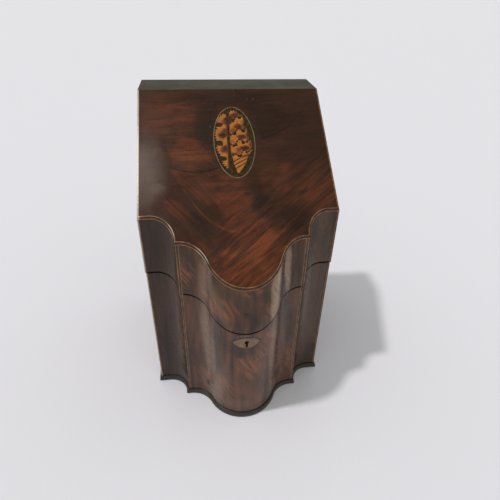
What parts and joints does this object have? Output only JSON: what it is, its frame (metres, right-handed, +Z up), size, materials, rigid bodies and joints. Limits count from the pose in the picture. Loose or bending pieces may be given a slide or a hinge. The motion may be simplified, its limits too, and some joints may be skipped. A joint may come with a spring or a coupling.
{
  "type": "knife box",
  "caption": "Tall veneered cutlery box with a serpentine front, coved corners, a sloping hinged lid with an inlaid oval shell, a lock and a stepped rack of slots inside.",
  "frame": {"origin": "centre of the footprint's box, on the surface that the box stands on", "axes": "+X to the right and +Y to the back as seen from the front, +Z up"},
  "size_m": [0.225, 0.2718, 0.361],
  "materials": {
    "slope_mahogany": "flame mahogany veneer under old french polish",
    "front_mahogany": "mahogany veneer, upright grain, old french polish",
    "side_mahogany": "mahogany veneer, old french polish",
    "cove_mahogany": "darkened mahogany, polished",
    "carcase_wood": "plain mahogany, waxed",
    "moulding_wood": "darkened mahogany moulding",
    "boxwood_line": "boxwood stringing",
    "dark_bead": "stained stringing",
    "satinwood": "satinwood, shaded with hot sand",
    "patera_ground_wood": "green-stained veneer",
    "escutcheon_bone": "old boxwood, worn",
    "escutcheon_border_wood": "grey-stained stringing",
    "rack_wood": "mahogany, waxed",
    "hinge_brass": "aged brass",
    "lock_brass": "aged brass",
    "lock_steel": "dull steel",
    "screw_steel": "dull steel"
  },
  "bodies": {
    "case": {"case_bottom": "carcase_wood", "case_back": "carcase_wood", "case_side_left": "side_mahogany", "case_side_right": "side_mahogany", "case_cove_left": "cove_mahogany", "case_cove_right": "cove_mahogany", "case_front": "front_mahogany", "case_corner_beads": "dark_bead", "case_corner_lines": "boxwood_line", "base_moulding_front": "moulding_wood", "base_moulding_cove_left": "moulding_wood", "base_moulding_cove_right": "moulding_wood", "base_moulding_side_left": "moulding_wood", "base_moulding_side_right": "moulding_wood", "escutcheon": "escutcheon_bone", "escutcheon_border": "escutcheon_border_wood", "rack_tier_1": "rack_wood", "rack_tier_2": "rack_wood", "rack_tier_3": "rack_wood", "rack_tier_4": "rack_wood", "rack_tier_bow": "rack_wood", "rack_riser_1": "rack_wood", "rack_riser_2": "rack_wood", "rack_riser_3": "rack_wood", "rack_riser_4": "rack_wood", "rack_bearers": "rack_wood", "lock_case": "lock_brass", "lock_cap": "lock_brass", "lock_drill_pin": "lock_steel", "lock_spring": "lock_steel", "lock_screws": "screw_steel", "hinge_case_leaf_left": "hinge_brass", "hinge_case_leaf_right": "hinge_brass", "hinge_pin_left": "screw_steel", "hinge_pin_right": "screw_steel", "hinge_screws_case": "screw_steel"},
    "lid": {"lid_back": "carcase_wood", "lid_side_left": "side_mahogany", "lid_side_right": "side_mahogany", "lid_cove_left": "cove_mahogany", "lid_cove_right": "cove_mahogany", "lid_front": "front_mahogany", "lid_crown_board": "carcase_wood", "lid_slope_board": "carcase_wood", "crown_veneer": "side_mahogany", "slope_veneer": "slope_mahogany", "slope_edge_bead": "dark_bead", "slope_edge_line": "boxwood_line", "lid_corner_beads": "dark_bead", "lid_corner_lines": "boxwood_line", "patera_ground": "patera_ground_wood", "patera_shell": "satinwood", "patera_line": "boxwood_line", "link_plate": "lock_brass", "link_screws": "screw_steel", "hinge_lid_leaf_left": "hinge_brass", "hinge_lid_leaf_right": "hinge_brass", "hinge_screws_lid": "screw_steel"},
    "bolt": {"lock_bolt": "lock_steel"}
  },
  "joints": [
    {"name": "lid_hinge", "type": "hinge", "parent": "case", "child": "lid", "pos_m": [0, 0.1334, 0.30462], "axis": [-1, 0, 0], "range_deg": [0, 120]},
    {"name": "bolt_slide", "type": "slide", "parent": "case", "child": "bolt", "axis": [1, 0, 0], "range_m": [0, 0.005]}
  ]
}
